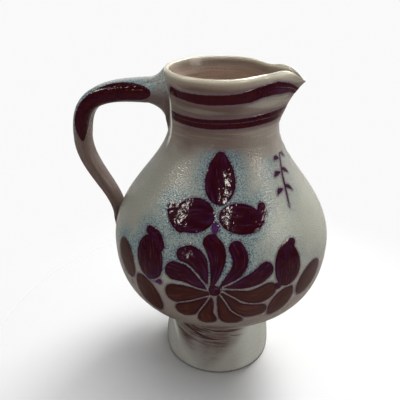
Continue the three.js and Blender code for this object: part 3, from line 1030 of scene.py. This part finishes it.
# each band is two turns of the brush, one over the other
def bandPaint(turn, height):
    s = rimPart
    count = len(turn)
    edges = np.full((2, count), slipReach)
    nearest = np.full(count, slipReach)
    across, run, number = np.zeros(count), np.zeros(count), np.zeros(count)
    degrees = np.abs(np.degrees(turn))
    for index, band in enumerate(s["bands"]):
        top, bottom = byTurn(degrees, band["top"]), byTurn(degrees, band["bottom"])
        split = bottom + (top - bottom) * byTurn(degrees, band["split"])
        lap = byTurn(degrees, s["lap"]) * (1 - index)
        for side, (low, high) in enumerate(((bottom, split + lap), (split - lap, top))):
            half = (high - low) / 2
            lift = height - (high + low) / 2
            beyond = (degrees - band["end"] + s["endStep"] * side) * s["mmPerDegree"] + half
            reach = np.where(beyond > 0, np.hypot(lift, beyond), np.abs(lift)) - half
            edges[side] = np.minimum(edges[side], reach)
            hit = reach < nearest
            nearest[hit] = reach[hit]
            across[hit] = np.clip(lift / half, -1.5, 1.5)[hit]
            run[hit] = (degrees / s["strokeDegrees"])[hit]
            number[hit] = s["numbers"] + 2 * index + side
    upper = height > s["bandsPart"]
    seam = np.where(upper, byTurn(degrees, s["seam"]), s["lowerSeam"])
    violet = np.where(upper & (number <= s["numbers"]), byTurn(degrees, s["violet"]), 0.0)
    return edges, seam, across, run, number, np.full(count, s["mattness"]), violet


def shapeSpout(radius, turn, height):
    s = rimPart
    away = np.abs(turn)
    share = np.clip((height - form["neckTop"]) / s["height"], 0, 1)
    widening = 1 + s["throatWidening"] * (1 - share)
    rounded = np.hypot(away, s["spoutTipRound"]) - s["spoutTipRound"]
    beak = s["spoutReach"] * np.exp(-rounded / (s["spoutHalfAngle"] * widening))
    spread = np.where(away < s["pinchAngle"], *s["pinchSpread"])
    pinch = s["pinchDepth"] * np.exp(-(((away - s["pinchAngle"]) / spread) ** 2))
    rise = s["shoulderRise"] * np.exp(
        -(((away - s["shoulderRiseAngle"]) / s["shoulderRiseSpread"]) ** 2)
    )
    fall = s["spoutFall"] * np.exp(-((away / s["spoutFallAngle"]) ** 2))
    radius = radius + share ** s["throatPower"] * (beak - pinch)
    return radius, height + share ** s["risePower"] * (rise - fall)


def makeRim(s):
    low, lipLevel, r = form["neckTop"], form["lipLevel"], form["lipRadius"]
    insideLow = low - form["lapDepth"] + form["lapClearance"]
    outside = along(outsideLine, low, lipLevel, s["spacing"])
    inside = along(insideLine, insideLow, lipLevel, s["insideSpacing"])
    centre = outside[-1][0] - r
    turns = np.linspace(0, math.pi, s["lipSteps"] + 1)[1:-1]
    lip = [(centre + r * math.cos(a), lipLevel + r * math.sin(a)) for a in turns]
    profile = np.vstack([outside, lip, inside[::-1], tongueBottom(low)])
    name, node, finish = "rimAndSpout", "rim_and_spout", "pale_rim_glaze"
    bodyPiece(name, node, profile, s["columns"], banded=True)


makeRim(rimPart)

# pulled handle: a rounded strap lofted along its centre line, dying into the wall at its ends
handlePart = {
    "topLine": ((-29.29, 184.1), (-78.29, 184.1), (-92.3, 179.7), (-92.3, 149.7)),
    "lowLine": ((-92.3, 149.7), (-92.3, 129.7), (-70.527, 114.6), (-70.527, 98.6)),
    "tailFoot": (-67.878, 76.6),
    "rootSeat": 6.71,
    "rootLength": 12.0,
    "tailReach": 38.0,
    "thickness": (15.0, 7.4),
    "width": (20.0, 15.0),
    "squareness": 2.5,
    "taper": 0.9,
    "rootHeight": 27.5,
    "rootWidth": 25.0,
    "rootPull": 2.2,
    "tailThickness": 3.0,
    "tailWidth": 19.0,
    "tipShare": 0.3,  # share of the tail that rounds off
    "tipWidth": 0.2,  # what is left of the width and thickness at its end
    "tipThickness": 0.35,
    "tipSink": 0.7,
    "sides": 72,
    "rows": (24, 120, 44),  # along the root, the strap and the tail
    "samples": (600, 1200),  # tries for the line where the root and the tail enter the wall
    "sink": 0.9,  # how far the ends reach into the wall
    "violetness": 0.08,  # of the slip on the handle
    "groove": 0.35,
    "grooveWidth": 0.32,  # as a share of the half width
    # clay smeared down the neck under the root: steepness, reach and last thickness
    "smear": (4.4, 12.0, 0.12),
    # slip stroke: (length along the handle, turn in degrees, half width)
    "stroke": [
        (15.4, -88, 2.6), (19.5, -88, 4.6), (25, -86, 5.6), (33, -84, 6.2), (42, -92, 6.3),
        (52, -108, 6.2), (62, -116, 6), (70, -119, 5.6), (77, -122, 3.8), (82.5, -122, 1.2),
    ],
    # a dark slip spot on the tail, which also stands in as painted shade where the handle meets the
    # belly
    "tailShadeSpot": [(142, -66, 1.4), (148, -70, 2.6), (155, -72, 1.6)],
}


def handleLine():
    lines = [bezier(handlePart["topLine"], 600), bezier(handlePart["lowLine"], 500)[1:]]
    foot = np.linspace(handlePart["lowLine"][3], handlePart["tailFoot"], 200)[1:]
    path = np.vstack([*lines, foot])
    return path, runAlong(path)


handlePath, handleRun = handleLine()
handleLength = handleRun[-1]
strapStart = (handlePart["rootSeat"] + handlePart["rootLength"]) / handleLength
strapEnd = 1 - handlePart["tailReach"] / handleLength


# x and z of the centre line at a length
def centreAt(length):
    return np.array([np.interp(length, handleRun, handlePath[:, i]) for i in (0, 1)])


# points of the handle's skin at shares of its length and turns about its centre line
def handleSkin(share, turn, inset=0.0):
    s = handlePart
    length = share * handleLength
    x, z = centreAt(length)
    ahead = centreAt(np.minimum(length + 0.4, handleLength))
    dx, dz = ahead - centreAt(np.maximum(length - 0.4, 0))
    size = np.hypot(dx, dz)
    outX, outZ = dz / size, -dx / size
    part = np.clip((share - strapStart) / (strapEnd - strapStart), 0, 1)
    thickness = s["thickness"][0] + (s["thickness"][1] - s["thickness"][0]) * part ** s["taper"]
    width = s["width"][0] + (s["width"][1] - s["width"][0]) * part
    off = np.maximum(length - s["rootSeat"], 0)
    flare = np.clip(1 - off / s["rootLength"], 0, 1) ** s["rootPull"]
    thickness = thickness + (s["rootHeight"] - thickness) * flare * (np.cos(turn) > 0)
    width = width + (s["rootWidth"] - width) * flare
    press = np.clip((share - strapEnd) / (1 - strapEnd), 0, 1)
    thickness = thickness + (s["tailThickness"] - thickness) * press
    width = width + (s["tailWidth"] - width) * press
    tip = np.clip((press - (1 - s["tipShare"])) / s["tipShare"], 0, 1)
    closing = np.sqrt(np.clip(1 - tip**2, 0, 1))
    width = width * (s["tipWidth"] + (1 - s["tipWidth"]) * closing)
    thickness, width = thickness - 2 * inset, width - 2 * inset
    power = 2 / s["squareness"]
    u = np.sign(np.cos(turn)) * np.abs(np.cos(turn)) ** power
    v = np.sign(np.sin(turn)) * np.abs(np.sin(turn)) ** power
    bend = s["groove"] * smooth(0.1, 0.25, share) * smooth(0.99, 0.7, share)
    outwards = u * thickness / 2 * (s["tipThickness"] + (1 - s["tipThickness"]) * closing)
    outwards = outwards - bend * np.exp(-((v / s["grooveWidth"]) ** 2)) * (u > 0)
    outwards = outwards - smooth(0.9, 1.0, press) * s["tipSink"]
    sideways = v * width / 2
    steep, reach, last = s["smear"]
    off = np.maximum(-(x + radiusAt(outsideLine, z)), 0)  # how far out from the neck
    drop = np.maximum(steep * np.log(reach / (off + last)), 0) * smooth(0.3, 0.1, share)
    outwards = outwards + drop * np.where(u > 0, 0.12 * u, -np.abs(u) ** 5)
    sideways = sideways + drop * v * np.where(u > 0, 0.15, 0.1)
    return np.stack([x + outX * outwards, sideways, z + outZ * outwards], -1)


# share of the length where each lengthwise line passes the wall's surface
def wallShares(turns, shares, first):
    found = []
    for turn in turns:
        skin = handleSkin(shares, np.full(len(shares), turn))
        depth = np.hypot(skin[:, 0], skin[:, 1]) - radiusAt(outsideLine, skin[:, 2])
        outside = np.where(depth > -handlePart["sink"])[0]
        found.append(shares[outside[0 if first else -1]])
    return np.array(found)


def handleMarks():
    marks = []
    for key, matt in (("stroke", 0.0), ("tailShadeSpot", 0.2)):
        path = brushPath(handlePart[key])
        place = handleSkin(path[:, 0] / handleLength, np.radians(path[:, 1]))
        facing = np.tile((0.0, -1.0, 0.0), (len(path), 1))
        marks.append(brushMark(place, path[:, 2], facing, matt, handlePart["violetness"]))
    return marks


# a grid rolled into a tube, whose outer end follows the wall
def makeHandlePiece(name, node, fromShare, toShare, rows):
    sides = handlePart["sides"]
    rootSamples, tailSamples = handlePart["samples"]
    shape = bmesh.new()
    bmesh.ops.create_grid(shape, x_segments=rows, y_segments=sides, size=0.5)
    mesh = meshFrom(shape, name)
    grid = readPoints(mesh) * mm + 0.5
    turn = grid[:, 1] * 2 * math.pi
    column = np.rint(grid[:, 1] * sides).astype(int)
    turns = np.linspace(0, 2 * math.pi, sides + 1)
    low = np.full(sides + 1, fromShare)
    high = np.full(sides + 1, toShare)
    if fromShare == 0:
        low = wallShares(turns, np.linspace(0, toShare, rootSamples), True)
    if toShare == 1:
        high = wallShares(turns, np.linspace(fromShare, 1, tailSamples), False)
    share = low[column] + (high[column] - low[column]) * grid[:, 0]
    points = handleSkin(share, turn)
    grip = np.stack([share, np.cos(turn), np.sin(turn)], 1)
    writeField(mesh, "grip", grip)
    painted = paint(nearSide(points), handleMarks())
    writeSlip(mesh, painted, np.arange(len(points)), len(points))
    inset = form["relief"] * (1 - smooth(0.45, -0.45, painted[0].min(0)))
    writePoints(mesh, handleSkin(share, turn, inset))
    shape = bmesh.new()
    shape.from_mesh(mesh)
    bmesh.ops.remove_doubles(shape, verts=shape.verts, dist=2e-6)
    ends = [edge for edge in shape.edges if edge.is_boundary]
    bmesh.ops.holes_fill(shape, edges=ends, sides=0)
    bmesh.ops.recalc_face_normals(shape, faces=shape.faces)
    shape.to_mesh(mesh)
    shape.free()
    finishPiece(mesh, name, node, [strapGlaze])


rootRows, strapRows, tailRows = handlePart["rows"]
makeHandlePiece("handleRoot", "handle_root", 0, strapStart, rootRows)
makeHandlePiece("handleStrap", "handle_strap", strapStart, strapEnd, strapRows)
makeHandlePiece("handleTail", "handle_tail", strapEnd, 1, tailRows)

# floor, world and lamps
studio = {
    "floorRadius": 1.6,
    "floorDrop": 0.0002,  # keeps it clear of the standing face
    "floorColour": tone(247, 247, 247),
    "bounceColour": tone(124, 117, 110),  # what light off the table brings back to the pot
    "fadeStart": 0.0,
    "fadeEnd": 0.25,
    "white": 0.95,
    "walls": tone(250, 252, 255),  # the room's walls, which light the pot from all round
    "wallLevel": 5.7,
    "wallSide": 0.2,  # how much brighter they are on the spout's side
    "wallRise": (0.07, 0.19),  # where they end upwards, as the height of the direction
    "darkRoom": 0.05,  # what gloss sees on the camera's side
    "darkEdge": (0.45, 0.95),  # where that ends towards the back
    "glossOnTable": 0.1,  # how much of the paper gloss sees; the rest is the table
    "lampDistance": 0.95,
    # name: turn, height above the horizon, width, height, watts, colour
    "lamps": {
        "rightWindow": (-10, 26, 0.32, 0.24, 3.2, (1.0, 0.96, 0.86)),
        "leftWindow": (-162, 40, 0.27, 0.2, 3.0, (1.0, 0.96, 0.86)),
        "leftPane": (-134, 39, 0.045, 0.12, 0.6, (1.0, 0.95, 0.86)),
        "frontPane": (-73, 45, 0.045, 0.13, 0.75, (1.0, 0.95, 0.86)),
        "lowPane": (-112, 14, 0.04, 0.06, 0.15, (1.0, 0.95, 0.86)),
        "sidePane": (-38, 27, 0.05, 0.05, 0.15, (1.0, 0.95, 0.86)),
        "skylight": (92, 60, 0.16, 0.16, 2.6, (1.0, 0.98, 0.92)),
        "backKey": (67, 44, 0.42, 0.42, 11.3, (1.0, 1.0, 1.0)),
        "overhead": (0, 89, 1.0, 1.0, 3.8, (1.0, 1.0, 1.0)),
    },
    "aim": (0.0, 0.0, 0.1),
    "lights": ("backKey", "overhead"),  # the other lamps only show as gloss
}


def mattPaper(start, colour):
    sockets = {"Base Color": colour, "Roughness": 0.9, "Specular IOR Level": 0.1}
    return start.build("ShaderNodeBsdfPrincipled", {}, sockets)


def makeStage(s):
    shape = bmesh.new()
    bmesh.ops.create_circle(shape, cap_ends=True, segments=96, radius=s["floorRadius"])
    bmesh.ops.translate(shape, verts=shape.verts, vec=(0, 0, -s["floorDrop"]))
    mesh = meshFrom(shape, "studioFloor")
    ground = bpy.data.objects.new("studioFloor", mesh)
    bpy.context.scene.collection.objects.link(ground)
    material = bpy.data.materials.new("paper floor")
    start, place = startTree(material)
    length = start.build("ShaderNodeVectorMath", {"operation": "LENGTH"}, {0: place}, "Value")
    paper = mattPaper(start, s["floorColour"])
    table = mattPaper(start, s["bounceColour"])
    # the camera sees paper that fades into the background, and light bounces off the table
    rays = start.node("ShaderNodeLightPath")
    shown = start.take(rays, "Is Camera Ray") + start.take(rays, "Is Transmission Ray")
    shown = shown + start.take(rays, "Is Glossy Ray") * s["glossOnTable"]
    paper = start.build("ShaderNodeMixShader", {}, {0: shown, 1: table, 2: paper})
    clear = start.build("ShaderNodeBsdfTransparent")
    fade = length.ease(s["fadeStart"], s["fadeEnd"]) * shown
    mixed = start.build("ShaderNodeMixShader", {}, {0: fade, 1: paper, 2: clear})
    start.node("ShaderNodeOutputMaterial", {}, {"Surface": mixed})
    mesh.materials.append(material)

    world = bpy.data.worlds.new("studio")
    bpy.context.scene.world = world
    start, direction = startTree(world, "Generated")
    path = start.node("ShaderNodeLightPath")
    cameraRay, glossyRay, clearRay = (
        start.take(path, name) for name in ("Is Camera Ray", "Is Glossy Ray", "Is Transmission Ray")
    )
    across, depth, rise = direction.parts()
    behind = depth.ease(*s["darkEdge"], s["darkRoom"], 1.0)
    seen = start.math("MINIMUM", cameraRay + clearRay + glossyRay, 1.0)
    level = cameraRay + clearRay + glossyRay * behind
    background = {"Color": (s["white"],) * 3 + (1,), "Strength": level}
    white = start.build("ShaderNodeBackground", {}, background)
    walls = rise.ease(*s["wallRise"], s["wallLevel"], 0.0) * (across * s["wallSide"] + 1)
    background = {"Color": s["walls"], "Strength": walls}
    room = start.build("ShaderNodeBackground", {}, background)
    dim = start.build("ShaderNodeMixShader", {}, {0: seen, 1: room, 2: white})
    start.node("ShaderNodeOutputWorld", {}, {"Surface": dim})

    for name, (turn, rise, width, height, watts, colour) in s["lamps"].items():
        light = bpy.data.lights.new(name, "AREA")
        light.shape = "RECTANGLE"
        light.size, light.size_y = width, height
        light.energy = watts
        light.color = colour
        lamp = bpy.data.objects.new(name, light)
        bpy.context.scene.collection.objects.link(lamp)
        a, e = math.radians(turn), math.radians(rise)
        back = Vector((math.cos(a) * math.cos(e), math.sin(a) * math.cos(e), math.sin(e)))
        lamp.visible_diffuse = name in s["lights"]
        lamp.location = Vector(s["aim"]) + back * s["lampDistance"]
        lamp.rotation_euler = back.to_track_quat("Z", "Y").to_euler()


makeStage(studio)
bpy.context.scene.view_settings.view_transform = "Standard"
print("stage and lamps placed")
